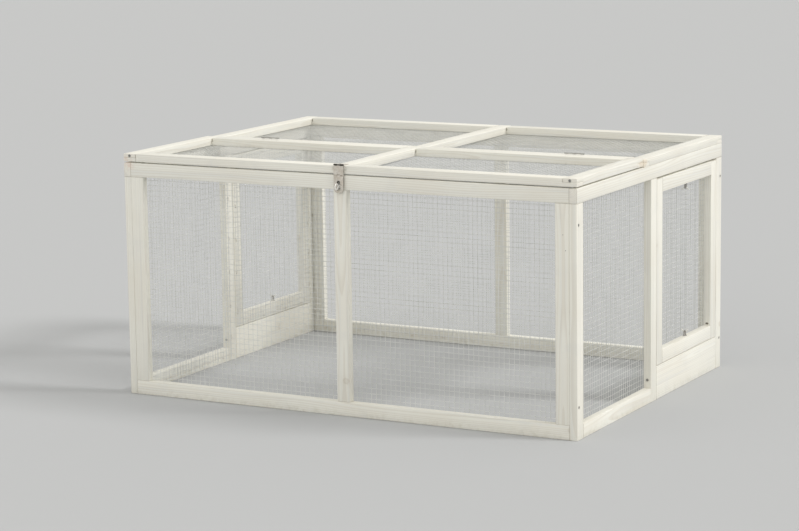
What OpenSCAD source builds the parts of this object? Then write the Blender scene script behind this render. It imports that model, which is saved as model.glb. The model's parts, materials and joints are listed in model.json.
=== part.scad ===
// Outdoor rabbit run: four netted wall panels, a fixed netted roof at the rear and a
// netted lid at the front, all of one size of planed timber. Each side has a removable
// netted door over a solid board, held by two wing screws. A jointed hasp with a
// turning eye closes the lid.
// Everything is laid out from the front left bottom corner of the timber, X to the
// right, Y to the back and Z up. place() then moves the origin to the middle of the
// footprint, on the ground.

/* [Run] */
// Overall width
run_w = 1190; // [1000:10:1400]
// Overall depth of the timber
run_d = 880; // [840:10:1000]
// Height of the wall panels
wall_h = 567; // [480:1:640]

/* [Timber] */
// Width of the planed timber
bar_w = 34; // [30:1:40]
// Thickness of the planed timber
bar_t = 19; // [18:0.5:22]
// Slit left in the upper half of each half-lap corner
lap_slit = 2.5; // [0.5:0.1:3]
// The same slit along the front of the lid, mostly filled with paint
front_slit = 0.6; // [0.5:0.1:3]
// How far the middle stile of the back panel stands left of centre
back_stile_shift = 8; // [0:1:20]

/* [Sides] */
// Depth of the netted bay in front of the middle stile
bay_d = 425; // [380:5:440]
// Height of the solid board under each door
board_h = 81; // [60:1:100]
// Gap in front of and behind each door
door_side_gap = 2; // [1:0.5:4]
// Gap over each door
door_top_gap = 4; // [2:0.5:8]
// Gap under each door
door_foot_gap = 1.5; // [1:0.5:6]

/* [Lid] */
// Depth of the lid
lid_d = 376; // [340:2:400]
// Gap between the lid and the walls
lid_lift = 3; // [2:0.1:4]
// Gap between the lid and the roof, filled by the hinge leaves
lid_joint = 2; // [2:0.1:3]
// Distance of the left hinge from the left end
left_hinge_x = 185; // [100:5:260]
// Distance of the right hinge from the right end
right_hinge_x = 175; // [100:5:260]
// Length of a hinge
hinge_len = 50; // [40:1:65]

/* [Hasp] */
// Distance of the hasp from the middle of the run
hasp_shift = 0; // [-20:0.5:20]
// Width of the hasp
hasp_w = 25; // [22:1:30]
// Height of the turning eye's axis
eye_z = 541.5; // [541:0.5:542]
// How far the eye stands out of the front
eye_reach = 24; // [22:0.5:24]

/* [Netting] */
// Thickness of the netting where two wires cross
net_t = 1.6; // [1:0.1:2]
// Width of a drawn strand
strand_w = 2; // [1:0.5:4]
// Spacing of the drawn strands, about eight meshes of the real netting
strand_pitch = 101.6; // [90:0.1:160]

/* [Hidden] */

$fn = 40;
eps = 0.5; // overrun of a cutting tool past the face it opens

paint = "#efeee6";
zinc = "#c3c6c8";
steel = "#a9abad";

// Walls
rail_z = wall_h - bar_w;
mid_x = run_w / 2;
stile_x = [bar_t, mid_x - bar_w / 2, run_w - bar_t - bar_w];
mid_stile_y = bay_d;
rear_stile_y = run_d - bar_w;
board_y = bay_d + bar_w;
wall_mid = bar_t / 2;

// Doors
door_y = board_y + door_side_gap;
door_end = rear_stile_y - door_side_gap;
door_z = board_h + door_foot_gap;
door_top = rail_z - door_top_gap;
door_screw_y = board_y + (rear_stile_y - board_y) / 2 + 10;

// Roof and lid
lid_z = wall_h + lid_lift;
lid_top = lid_z + bar_t;
roof_y = lid_d + lid_joint;
roof_d = run_d - roof_y;
half_t = bar_t / 2;

// Butt hinges of the lid
barrel_r = 2.6;
pin_r = 1.3;
fit = 0.05;
knuckle_gap = 0.3;
leaf_t = 0.9;
leaf_drop = 16;
hinge_x = [left_hinge_x, run_w - right_hinge_x];
hinge_y = lid_d + lid_joint / 2;
hinge_z = lid_top + barrel_r + knuckle_gap;
hinge_screw_dx = 16;
hinge_screw_z = lid_z + 9;

// Hasp
hasp_x = mid_x + hasp_shift;
plate_t = 1.2;
hasp_barrel_r = 2.2;
hasp_pin_r = 1.1;
hasp_y = -3.6;
upper_pin_z = lid_top + hasp_barrel_r;
lower_pin_z = wall_h + 0.5;
plate_y = hasp_y - hasp_barrel_r;
knuckle = (hasp_w - 2 * knuckle_gap) / 3;
leaf_reach = 24;
strap_end_z = eye_z - 15.5;
slot_w = 9;
slot_z = [eye_z - 12, eye_z + 13];
hasp_screw_dx = 7;
hasp_screw_y = 16;

// Turning eye and its plate
eye_h = 17;
eye_t = 2.6;
eye_root = 6.3; // just in front of the strap's outer face
eye_band = 3.5;
shank_r = 2.2;
rivet_r = 3.5;
rivet_t = 1.2;
eye_plate_w = 22;
eye_plate_z = [eye_z - 6.9, wall_h - 2];
eye_screw_z = wall_h - 10;
eye_screw_dx = 6.5;

// Wing screws
thread_r = 3;
thread_bite = 13;
wing_screw_l = bar_w + door_top_gap + thread_bite;
lower_seat_z = door_z + bar_w;
lower_hole_z = lower_seat_z - wing_screw_l - 1;
washer_r = 6.5;
washer_t = 1.2;
hub_r = 3.4;
hub_foot_r = 4.8;
hub_foot_h = 3;
hub_h = 13.5;
wing_t = 2.4;
wing_reach = 9.3;
wing_top = 19;
wing_tip_r = 3;
wing_root = [10, 14];

// Wood screws
screw_r = 2;
screw_head_r = 3.5;
screw_head_h = 2.5;
small_r = 1.5;
small_head_r = 3;
corner_screw_l = 40;
board_screw_l = 54;
lid_screw_l = 60;
small_screw_l = 14;
corner_screw_z = [75, wall_h - 82];
board_screw_z = 54;
lid_screw_z = lid_z + 13.8;
lid_screw_x = [bar_w / 2, run_w - bar_w / 2];

// Netting
net_lap = 13;
net_edge_z = 8;
net_clear = 0.4;

// The origin: middle of the whole footprint, the eye included
origin_y = (run_d - eye_reach) / 2;

module place() {
    translate([-run_w / 2, -origin_y, 0]) children();
}

// A part and its mirror image share one description: side 1 is right, side -1 is left
module on_side(side) {
    if (side > 0) {
        children();
    } else {
        translate([run_w, 0, 0]) mirror([1, 0, 0]) children();
    }
}

// A straight piece of timber from its lowest to its highest corner
module timber(low, high) {
    translate(low) cube(high - low);
}

// A round bar or bore along +Y, -Y or +X from a point
module rod(from, axis, r, length) {
    turn = axis == "y" ? [-90, 0, 0] : axis == "-y" ? [90, 0, 0] : axis == "x" ? [0, 90, 0] : [0, -90, 0];
    translate(from) rotate(turn) cylinder(r = r, h = length);
}

// A countersunk wood screw, or the hole that it fills, with its head flush at a point
module wood_screw(from, axis, length) {
    turn = axis == "y" ? [-90, 0, 0] : axis == "-y" ? [90, 0, 0] : [0, -90, 0];
    translate(from) rotate(turn) rotate_extrude() polygon([
        [0, 0],
        [screw_head_r, 0],
        [screw_head_r, 0.4],
        [screw_r, screw_head_h],
        [screw_r, length],
        [0, length]
    ]);
}

// A small flat-headed screw whose head sits in a plate of the given thickness
module small_screw(from, axis, head_h) {
    rod(from, axis, small_head_r, head_h);
    rod(from, axis, small_r, small_screw_l);
}

module rounded_rectangle(w, h, r) {
    square([w - 2 * r, h], center = true);
    square([w, h - 2 * r], center = true);
    for (x = [-1, 1], y = [-1, 1]) {
        translate([x * (w / 2 - r), y * (h / 2 - r)]) circle(r = r);
    }
}

// Places of the wood screws

module corner_screws() {
    for (side = [-1, 1], y = [wall_mid, run_d - wall_mid], z = corner_screw_z) {
        on_side(side) wood_screw([run_w, y, z], "-x", corner_screw_l);
    }
}

module board_screws() {
    for (side = [-1, 1]) {
        on_side(side) {
            wood_screw([run_w - wall_mid, mid_stile_y, board_screw_z], "y", board_screw_l);
            wood_screw([run_w - wall_mid, run_d, board_screw_z], "-y", board_screw_l);
        }
    }
}

module lid_corner_screws() {
    for (x = lid_screw_x) {
        wood_screw([x, 0, lid_screw_z], "y", lid_screw_l);
    }
}

module hinge_screws(y, axis) {
    for (x = hinge_x, dx = [-hinge_screw_dx, hinge_screw_dx]) {
        small_screw([x + dx, y, hinge_screw_z], axis, leaf_t);
    }
}

module eye_plate_screws() {
    for (dx = [-eye_screw_dx, eye_screw_dx]) {
        small_screw([hasp_x + dx, -plate_t, eye_screw_z], "y", plate_t);
    }
}

module hasp_leaf_screws() {
    for (dx = [-hasp_screw_dx, hasp_screw_dx]) {
        translate([hasp_x + dx, hasp_screw_y, lid_top + plate_t - small_screw_l]) {
            cylinder(r = small_r, h = small_screw_l);
        }
        translate([hasp_x + dx, hasp_screw_y, lid_top]) {
            cylinder(r = small_head_r, h = plate_t);
        }
    }
}

// Front and back panels, between the side panels

module cross_rail(y, z) {
    timber([bar_t, y, z], [run_w - bar_t, y + bar_t, z + bar_w]);
}

module cross_stile(x, y) {
    color(paint) place() difference() {
        timber([x, y, bar_w], [x + bar_w, y + bar_t, rail_z]);
        corner_screws();
    }
}

module front_top_rail() {
    color(paint) place() difference() {
        cross_rail(0, rail_z);
        eye_plate_screws();
        rod([hasp_x, -eps, eye_z], "y", rivet_r + 0.7, rivet_t + 1 + eps);
    }
}

module front_bottom_rail() {
    color(paint) place() cross_rail(0, 0);
}

module back_top_rail() {
    color(paint) place() cross_rail(run_d - bar_t, rail_z);
}

module back_bottom_rail() {
    color(paint) place() cross_rail(run_d - bar_t, 0);
}

// Side panels, over the full depth

module side_timber(side, low, high) {
    color(paint) place() difference() {
        on_side(side) timber(
            [run_w - bar_t, low[0], low[1]],
            [run_w, high[0], high[1]]
        );
        corner_screws();
        board_screws();
        on_side(side) door_screw_holes();
    }
}

module side_top_rail(side) {
    side_timber(side, [0, rail_z], [run_d, wall_h]);
}

module side_bottom_rail(side) {
    side_timber(side, [bar_w, 0], [mid_stile_y, bar_w]);
}

module side_stile(side, y) {
    side_timber(side, [y, 0], [y + bar_w, rail_z]);
}

module lower_board(side) {
    side_timber(side, [board_y, 0], [rear_stile_y, board_h]);
}

// Doors

module door_screw_holes() {
    translate([run_w - wall_mid, door_screw_y, lower_hole_z]) {
        cylinder(r = thread_r + fit, h = board_h + eps - lower_hole_z);
    }
    translate([run_w - wall_mid, door_screw_y, rail_z - eps]) {
        cylinder(r = thread_r + fit, h = thread_bite + 1 + eps);
    }
}

module door_rail(side, z) {
    color(paint) place() on_side(side) difference() {
        timber([run_w - bar_t, door_y + bar_w, z], [run_w, door_end - bar_w, z + bar_w]);
        translate([run_w - wall_mid, door_screw_y, z - eps]) {
            cylinder(r = thread_r + 0.3, h = bar_w + 2 * eps);
        }
    }
}

module door_stiles(side) {
    color(paint) place() on_side(side) for (y = [door_y, door_end - bar_w]) {
        timber([run_w - bar_t, y, door_z], [run_w, y + bar_w, door_top]);
    }
}

// Roof and lid: the side rails and the centre bar run on top at the half-lap corners

module long_bar(x, y, length, z) {
    difference() {
        timber([x, y, z], [x + bar_w, y + length, z + bar_t]);
        for (end = [y, y + length - bar_w]) {
            timber([x - eps, end - eps, z - eps], [x + bar_w + eps, end + bar_w + eps, z + half_t]);
        }
    }
}

module end_rail(y, z, slit) {
    difference() {
        timber([0, y, z], [run_w, y + bar_w, z + bar_t]);
        for (x = [0, mid_x - bar_w / 2, run_w - bar_w]) {
            timber(
                [x - slit, y - eps, z + half_t],
                [x + bar_w + slit, y + bar_w + eps, z + bar_t + eps]
            );
        }
    }
}

module roof_long_bar(x) {
    color(paint) place() long_bar(x, roof_y, roof_d, wall_h);
}

module lid_long_bar(x) {
    color(paint) place() difference() {
        long_bar(x, 0, lid_d, lid_z);
        lid_corner_screws();
        hasp_leaf_screws();
    }
}

module roof_front_rail() {
    color(paint) place() difference() {
        end_rail(roof_y, wall_h, lap_slit);
        hinge_screws(roof_y - leaf_t, "y");
    }
}

module roof_rear_rail() {
    color(paint) place() end_rail(run_d - bar_w, wall_h, lap_slit);
}

module lid_front_rail() {
    color(paint) place() difference() {
        end_rail(0, lid_z, front_slit);
        hasp_leaf_screws();
    }
}

module lid_rear_rail() {
    color(paint) place() difference() {
        end_rail(lid_d - bar_w, lid_z, lap_slit);
        hinge_screws(lid_d + leaf_t, "-y");
    }
}

// Netting: a flat sheet with a grid of gaps, drawn coarser than the real netting

module net_sheet(w, h) {
    columns = round(w / strand_pitch);
    rows = round(h / strand_pitch);
    step_x = (w - strand_w) / columns;
    step_y = (h - strand_w) / rows;
    linear_extrude(height = net_t) difference() {
        square([w, h]);
        for (i = [0 : columns - 1], j = [0 : rows - 1]) {
            translate([strand_w + i * step_x, strand_w + j * step_y]) {
                square([step_x - strand_w, step_y - strand_w]);
            }
        }
    }
}

module cross_net(y) {
    color(zinc) place() translate([bar_t + net_clear, y + net_t, net_edge_z]) {
        rotate([90, 0, 0]) net_sheet(run_w - 2 * (bar_t + net_clear), rail_z + net_lap - net_edge_z);
    }
}

module side_net(side, y, z, length, height) {
    color(zinc) place() on_side(side) translate([run_w - bar_t - net_t, y, z]) {
        rotate([90, 0, 90]) net_sheet(length, height);
    }
}

module bay_net(side) {
    start = bar_t + net_t + net_clear;
    length = mid_stile_y + net_lap - start;
    side_net(side, start, net_edge_z, length, rail_z + net_lap - net_edge_z);
}

module door_net(side) {
    edge = 3;
    length = door_end - door_y - 2 * edge;
    side_net(side, door_y + edge, door_z + edge, length, door_top - door_z - 2 * edge);
}

module flat_net(y, z, length) {
    start = bar_t + net_t + net_clear;
    color(zinc) place() translate([start, y, z]) net_sheet(run_w - 2 * start, length);
}

module roof_net() {
    start = roof_y + bar_w - net_lap - 8;
    flat_net(start, wall_h - net_t, run_d - bar_t - net_t - net_clear - start);
}

module lid_net() {
    start = bar_t + net_t + net_clear;
    flat_net(start, lid_z - net_t, lid_d - bar_w + net_lap + 8 - start);
}

// Butt hinges: five knuckles, of which the lid has the second and fourth

module hinge_leaves(owned, plate_low_y, bore_r, screw_y, screw_axis) {
    step = hinge_len / 5;
    color(zinc) place() difference() {
        for (x = hinge_x) {
            timber(
                [x - hinge_len / 2, plate_low_y, lid_top - leaf_drop],
                [x + hinge_len / 2, plate_low_y + leaf_t, lid_top]
            );
            for (i = owned) {
                start = x - hinge_len / 2 + i * step + knuckle_gap / 2;
                rod([start, hinge_y, hinge_z], "x", barrel_r, step - knuckle_gap);
                timber(
                    [start, plate_low_y, lid_top - eps],
                    [start + step - knuckle_gap, plate_low_y + leaf_t, hinge_z]
                );
            }
        }
        for (x = hinge_x) {
            rod([x - hinge_len / 2 - eps, hinge_y, hinge_z], "x", bore_r, hinge_len + 2 * eps);
        }
        hinge_screws(screw_y, screw_axis);
    }
}

module roof_hinge_leaves() {
    hinge_leaves([0, 2, 4], roof_y - leaf_t, pin_r + fit, roof_y - leaf_t, "y");
}

module lid_hinge_leaves() {
    hinge_leaves([1, 3], lid_d, pin_r, lid_d + leaf_t, "-y");
}

module hinge_pins() {
    color(steel) place() {
        for (x = hinge_x) {
            rod([x - hinge_len / 2 - 1, hinge_y, hinge_z], "x", pin_r, hinge_len + 2);
        }
        rod([hasp_x - hasp_w / 2 - 1.5, hasp_y, upper_pin_z], "x", hasp_pin_r, hasp_w + 3);
    }
}

// Hasp: a leaf on the lid, a link over the lid's front and a slotted strap

module knuckle_at(slot, z, length) {
    start = hasp_x - hasp_w / 2 + slot * (knuckle + knuckle_gap);
    rod([start, hasp_y, z], "x", hasp_barrel_r, length);
}

module hasp_bore(z, r) {
    rod([hasp_x - hasp_w, hasp_y, z], "x", r, 2 * hasp_w);
}

module knuckle_tab(slot, low, high) {
    start = hasp_x - hasp_w / 2 + slot * (knuckle + knuckle_gap);
    timber([start, low[0], low[1]], [start + knuckle, high[0], high[1]]);
}

module hasp_leaf() {
    front = hasp_y + hasp_barrel_r + knuckle_gap;
    color(zinc) place() difference() {
        union() {
            timber([hasp_x - hasp_w / 2, front, lid_top], [hasp_x + hasp_w / 2, leaf_reach, lid_top + plate_t]);
            for (slot = [0, 2]) {
                knuckle_at(slot, upper_pin_z, knuckle);
                knuckle_tab(slot, [hasp_y, lid_top], [front + eps, lid_top + plate_t]);
            }
        }
        hasp_bore(upper_pin_z, hasp_pin_r);
        hasp_leaf_screws();
    }
}

module hasp_link() {
    reach = hasp_barrel_r + knuckle_gap;
    color(zinc) place() {
        difference() {
            union() {
                timber(
                    [hasp_x - hasp_w / 2, plate_y, lower_pin_z + reach],
                    [hasp_x + hasp_w / 2, plate_y + plate_t, upper_pin_z - reach]
                );
                knuckle_at(1, upper_pin_z, knuckle);
                knuckle_tab(1, [plate_y, upper_pin_z - reach - eps], [plate_y + plate_t, upper_pin_z]);
                for (slot = [0, 2]) {
                    knuckle_at(slot, lower_pin_z, knuckle);
                    knuckle_tab(slot, [plate_y, lower_pin_z], [plate_y + plate_t, lower_pin_z + reach + eps]);
                }
            }
            hasp_bore(upper_pin_z, hasp_pin_r + fit);
            hasp_bore(lower_pin_z, hasp_pin_r);
        }
        rod([hasp_x - hasp_w / 2 - 1, hasp_y, lower_pin_z], "x", hasp_pin_r, hasp_w + 2);
    }
}

module strap_outline() {
    top = lower_pin_z - hasp_barrel_r - knuckle_gap;
    tip_r = hasp_w / 2;
    translate([0, strap_end_z + tip_r]) circle(r = tip_r);
    translate([-tip_r, strap_end_z + tip_r]) square([hasp_w, top - strap_end_z - tip_r]);
}

module hasp_strap() {
    reach = hasp_barrel_r + knuckle_gap;
    slot_mid = (slot_z[0] + slot_z[1]) / 2;
    color(zinc) place() difference() {
        union() {
            translate([hasp_x, plate_y + plate_t, 0]) rotate([90, 0, 0]) {
                linear_extrude(height = plate_t) difference() {
                    strap_outline();
                    translate([0, slot_mid]) rounded_rectangle(slot_w, slot_z[1] - slot_z[0], slot_w / 2 - 0.01);
                }
            }
            knuckle_at(1, lower_pin_z, knuckle);
            knuckle_tab(1, [plate_y, lower_pin_z - reach - eps], [plate_y + plate_t, lower_pin_z]);
        }
        hasp_bore(lower_pin_z, hasp_pin_r + fit);
    }
}

// Turning eye on a riveted shank, and the plate that holds it on the front top rail

module eye_plate() {
    height = eye_plate_z[1] - eye_plate_z[0];
    color(zinc) place() difference() {
        translate([hasp_x, 0, eye_plate_z[0] + height / 2]) rotate([90, 0, 0]) {
            linear_extrude(height = plate_t) rounded_rectangle(eye_plate_w, height, 3);
        }
        rod([hasp_x, -plate_t - eps, eye_z], "y", shank_r + fit, plate_t + 2 * eps);
        eye_plate_screws();
    }
}

module turn_eye() {
    length = eye_reach - eye_root;
    middle = -(eye_reach + eye_root) / 2;
    corner_r = min(length, eye_h) / 2 - 0.5;
    color(zinc) place() {
        translate([hasp_x - eye_t / 2, middle, eye_z]) rotate([90, 0, 90]) {
            linear_extrude(height = eye_t) difference() {
                rounded_rectangle(length, eye_h, corner_r);
                rounded_rectangle(length - 2 * eye_band, eye_h - 2 * eye_band, corner_r - eye_band);
            }
        }
        rod([hasp_x, -eye_root - 1, eye_z], "y", shank_r, eye_root + 1 + fit + rivet_t);
        rod([hasp_x, 2 * fit, eye_z], "y", rivet_r, rivet_t);
    }
}

// Wing screws: the seat is at Z = 0, the thread points down

module wing() {
    rotate([90, 0, 0]) translate([0, 0, -wing_t / 2]) linear_extrude(height = wing_t) hull() {
        translate([wing_reach - wing_tip_r, wing_top - wing_tip_r]) circle(r = wing_tip_r);
        translate([0, wing_root[0]]) square([hub_r / 2, wing_root[1] - wing_root[0]]);
    }
}

module wing_screw() {
    translate([0, 0, washer_t + fit]) {
        cylinder(r = hub_r, h = hub_h);
        cylinder(r1 = hub_foot_r, r2 = hub_r, h = hub_foot_h);
    }
    wing();
    mirror([1, 0, 0]) wing();
    translate([0, 0, -wing_screw_l]) cylinder(r = thread_r, h = wing_screw_l + washer_t + 1);
    difference() {
        cylinder(r = washer_r, h = washer_t);
        translate([0, 0, -eps]) cylinder(r = thread_r + fit, h = washer_t + 2 * eps);
    }
}

module lower_wing_screw(side) {
    color(steel) place() on_side(side) {
        translate([run_w - wall_mid, door_screw_y, lower_seat_z]) wing_screw();
    }
}

module upper_wing_screw(side) {
    color(steel) place() on_side(side) {
        translate([run_w - wall_mid, door_screw_y, door_top - bar_w]) {
            rotate([180, 0, 0]) wing_screw();
        }
    }
}

// Screws

module frame_screws() {
    color(steel) place() {
        corner_screws();
        board_screws();
        hinge_screws(roof_y - leaf_t, "y");
        eye_plate_screws();
    }
}

module lid_screws() {
    color(steel) place() {
        lid_corner_screws();
        hinge_screws(lid_d + leaf_t, "-y");
        hasp_leaf_screws();
    }
}

front_top_rail();
front_bottom_rail();
cross_stile(stile_x[0], 0);  // front_left_stile
cross_stile(stile_x[1], 0);  // front_centre_stile
cross_stile(stile_x[2], 0);  // front_right_stile
back_top_rail();
back_bottom_rail();
cross_stile(stile_x[0], run_d - bar_t);  // back_left_stile
cross_stile(stile_x[1] - back_stile_shift, run_d - bar_t);  // back_centre_stile
cross_stile(stile_x[2], run_d - bar_t);  // back_right_stile
side_top_rail(-1);  // left_top_rail
side_bottom_rail(-1);  // left_bottom_rail
side_stile(-1, 0);  // left_front_stile
side_stile(-1, mid_stile_y);  // left_middle_stile
side_stile(-1, rear_stile_y);  // left_rear_stile
lower_board(-1);  // left_lower_board
side_top_rail(1);  // right_top_rail
side_bottom_rail(1);  // right_bottom_rail
side_stile(1, 0);  // right_front_stile
side_stile(1, mid_stile_y);  // right_middle_stile
side_stile(1, rear_stile_y);  // right_rear_stile
lower_board(1);  // right_lower_board
door_rail(-1, door_top - bar_w);  // left_door_top_rail
door_rail(-1, door_z);  // left_door_bottom_rail
door_stiles(-1);  // left_door_stiles
door_rail(1, door_top - bar_w);  // right_door_top_rail
door_rail(1, door_z);  // right_door_bottom_rail
door_stiles(1);  // right_door_stiles
roof_front_rail();
roof_rear_rail();
roof_long_bar(0);  // roof_left_rail
roof_long_bar(mid_x - bar_w / 2);  // roof_centre_bar
roof_long_bar(run_w - bar_w);  // roof_right_rail
lid_front_rail();
lid_rear_rail();
lid_long_bar(0);  // lid_left_rail
lid_long_bar(mid_x - bar_w / 2);  // lid_centre_bar
lid_long_bar(run_w - bar_w);  // lid_right_rail
cross_net(bar_t);  // front_net
cross_net(run_d - bar_t - net_t);  // back_net
bay_net(-1);  // left_net
bay_net(1);  // right_net
door_net(-1);  // left_door_net
door_net(1);  // right_door_net
roof_net();
lid_net();
roof_hinge_leaves();
lid_hinge_leaves();
hinge_pins();
hasp_leaf();
hasp_link();
hasp_strap();
eye_plate();
turn_eye();
lower_wing_screw(-1);  // left_lower_wing_screw
upper_wing_screw(-1);  // left_upper_wing_screw
lower_wing_screw(1);  // right_lower_wing_screw
upper_wing_screw(1);  // right_upper_wing_screw
frame_screws();
lid_screws();
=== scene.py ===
"""Looks of the outdoor rabbit run: painted timber, welded netting, zinc fittings and screws.

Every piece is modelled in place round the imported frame, in metres. Sizes are written in
millimetres, as on a drawing, and turned into metres by MM, mm() or at().
"""

import json
import math
import random

import bmesh
import bpy
from mathutils import Matrix, Vector


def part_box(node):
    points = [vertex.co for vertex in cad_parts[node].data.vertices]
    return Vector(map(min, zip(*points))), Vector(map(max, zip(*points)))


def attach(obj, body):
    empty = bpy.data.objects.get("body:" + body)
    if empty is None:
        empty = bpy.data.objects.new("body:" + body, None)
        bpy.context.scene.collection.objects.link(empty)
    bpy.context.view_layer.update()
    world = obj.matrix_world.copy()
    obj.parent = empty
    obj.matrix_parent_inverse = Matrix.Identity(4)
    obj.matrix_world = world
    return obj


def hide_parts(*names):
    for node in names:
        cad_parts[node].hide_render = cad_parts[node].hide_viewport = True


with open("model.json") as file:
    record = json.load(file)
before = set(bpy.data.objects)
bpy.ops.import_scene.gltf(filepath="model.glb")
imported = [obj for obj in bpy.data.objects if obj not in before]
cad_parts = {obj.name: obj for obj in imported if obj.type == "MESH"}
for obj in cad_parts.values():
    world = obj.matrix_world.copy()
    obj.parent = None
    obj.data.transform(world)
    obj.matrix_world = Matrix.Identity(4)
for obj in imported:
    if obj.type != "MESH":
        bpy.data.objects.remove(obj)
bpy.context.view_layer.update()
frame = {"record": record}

MM = 0.001

# The run as drawn: X from the left end, Y from the front of the timber, Z from the ground.
RUN_W = 1190
RUN_D = 880
WALL_H = 567
BAR_W = 34
BAR_T = 19
LID_D = 376
LID_Z = WALL_H + 3
LID_TOP = LID_Z + BAR_T
LAP_SLIT = 2.5
FRONT_SLIT = 0.6
MESH = 12.7
WIRE_R = 0.45
HASP_X = 595
HASP_Y = -3.6
EYE_Z = 541.5
EYE_REACH = 24
PLATE_T = 1.2
HASP_BARREL_R = 2.2
UPPER_PIN_Z = LID_TOP + HASP_BARREL_R
LOWER_PIN_Z = WALL_H + 0.5
ORIGIN_X = RUN_W / 2
ORIGIN_Y = (RUN_D - EYE_REACH) / 2


def mm(x, y, z):
    """A place or a step that is written in millimetres, in metres."""
    return Vector((x * MM, y * MM, z * MM))


def at(x, y, z):
    """A point of the drawing, in millimetres, as a place in the frame, in metres."""
    return mm(x - ORIGIN_X, y - ORIGIN_Y, z)


def along_axis(axis, length=1):
    """A step of this length along axis 0, 1 or 2."""
    return Vector([length if a == axis else 0 for a in range(3)])


def others(axis):
    """The two axes across an axis."""
    return [a for a in range(3) if a != axis]


def corners(node):
    """The lowest and the highest corner of a node in the frame."""
    return [Vector(corner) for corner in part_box(node)]


# ---- camera

CAMERA_AT = (3445.33, -5036.33, 1349.62)
CAMERA_YAW = 0.49176
CAMERA_DOWN = 0.17035
CAMERA_ROLL = -0.01434
CAMERA_LENS = 114.57


def set_camera():
    data = bpy.data.cameras.new("camera")
    data.lens = CAMERA_LENS
    data.sensor_width = 36
    data.clip_end = 200
    camera = bpy.data.objects.new("camera", data)
    turn = Matrix.Rotation(CAMERA_YAW, 4, "Z")
    tip = Matrix.Rotation(math.pi / 2 - CAMERA_DOWN, 4, "X")
    roll = Matrix.Rotation(CAMERA_ROLL, 4, "Z")
    camera.matrix_world = Matrix.Translation(at(*CAMERA_AT)) @ turn @ tip @ roll
    bpy.context.scene.collection.objects.link(camera)
    bpy.context.scene.camera = camera


set_camera()

# ---- shader maths


def sum_method(operation, swapped=False):
    """A method of Value that adds a Math node, for one Python operator."""

    def method(self, other=0):
        first, second = (other, self) if swapped else (self, other)
        return self.mat.node("ShaderNodeMath", {"operation": operation}, {0: first, 1: second})

    return method


class Value:
    """A shader socket that takes part in Python sums, each of which adds a Math node."""

    def __init__(self, mat, socket):
        self.mat = mat
        self.socket = socket

    __add__ = sum_method("ADD")
    __radd__ = sum_method("ADD", swapped=True)
    __sub__ = sum_method("SUBTRACT")
    __rsub__ = sum_method("SUBTRACT", swapped=True)
    __mul__ = sum_method("MULTIPLY")
    __rmul__ = sum_method("MULTIPLY", swapped=True)
    __truediv__ = sum_method("DIVIDE")
    __pow__ = sum_method("POWER")
    fraction = sum_method("FRACT")


class Finish:
    """One material, built up from nodes round a Principled shader."""

    def __init__(self, name, roughness, metallic=0.0):
        self.material = bpy.data.materials.new(name)
        self.material.use_nodes = True
        self.tree = self.material.node_tree
        self.shader = self.tree.nodes["Principled BSDF"]
        self.shader.inputs["Roughness"].default_value = roughness
        self.shader.inputs["Metallic"].default_value = metallic

    def node(self, kind, settings=None, inputs=None, out=0):
        """Adds a node, with its settings first and then its inputs, and returns one output."""
        node = self.tree.nodes.new(kind)
        for name, value in (settings or {}).items():
            setattr(node, name, value)
        for name, value in (inputs or {}).items():
            self.feed(node.inputs[name], value)
        return Value(self, node.outputs[out])

    def feed(self, socket, value):
        """Links a value to a socket, or sets a constant on it."""
        if isinstance(value, Value):
            self.tree.links.new(value.socket, socket)
        elif socket.type == "RGBA":
            socket.default_value = (*value, 1.0)
        else:
            socket.default_value = value

    def set(self, name, value):
        self.feed(self.shader.inputs[name], value)

    def place(self):
        return self.node("ShaderNodeTexCoord", out="Object")

    def attribute(self, name):
        return self.node("ShaderNodeAttribute", {"attribute_name": name}, out="Vector")

    def parts(self, vector):
        return [self.node("ShaderNodeSeparateXYZ", None, {0: vector}, out=axis) for axis in range(3)]

    def offset(self, place, point):
        """The three parts of the way from a point to a place."""
        settings = {"operation": "SUBTRACT"}
        return self.parts(self.node("ShaderNodeVectorMath", settings, {0: place, 1: point}))

    def join(self, x, y, z):
        return self.node("ShaderNodeCombineXYZ", None, {0: x, 1: y, 2: z})

    def noise(self, vector, scale, detail=2.0, roughness=0.5):
        inputs = {"Vector": vector, "Scale": scale, "Detail": detail, "Roughness": roughness}
        return self.node("ShaderNodeTexNoise", None, inputs)

    def cells(self, vector, scale, out="Distance"):
        return self.node("ShaderNodeTexVoronoi", None, {"Vector": vector, "Scale": scale}, out=out)

    def step(self, value, low, high):
        """0 below low, 1 above high and smooth between them; with low above high, falling."""
        settings = {"interpolation_type": "SMOOTHSTEP", "clamp": True}
        inputs = {"Value": value, "From Min": low, "From Max": high}
        return self.node("ShaderNodeMapRange", settings, inputs)

    def blend(self, factor, first, second):
        """The first color where the factor is 0, and the second where it is 1."""
        node = self.tree.nodes.new("ShaderNodeMix")
        node.data_type = "RGBA"
        colors = [socket for socket in node.inputs if socket.type == "RGBA"]
        result = [socket for socket in node.outputs if socket.type == "RGBA"][0]
        for socket, value in zip([node.inputs[0], *colors], (factor, first, second)):
            self.feed(socket, value)
        return Value(self, result)

    def done(self, color, roughness, relief, distance, strength):
        """Sets what every piece's material has, and returns the material."""
        inputs = {"Strength": strength, "Distance": distance, "Height": relief}
        self.set("Base Color", color)
        self.set("Roughness", roughness)
        self.set("Normal", self.node("ShaderNodeBump", None, inputs))
        return self.material


# ---- materials

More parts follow.
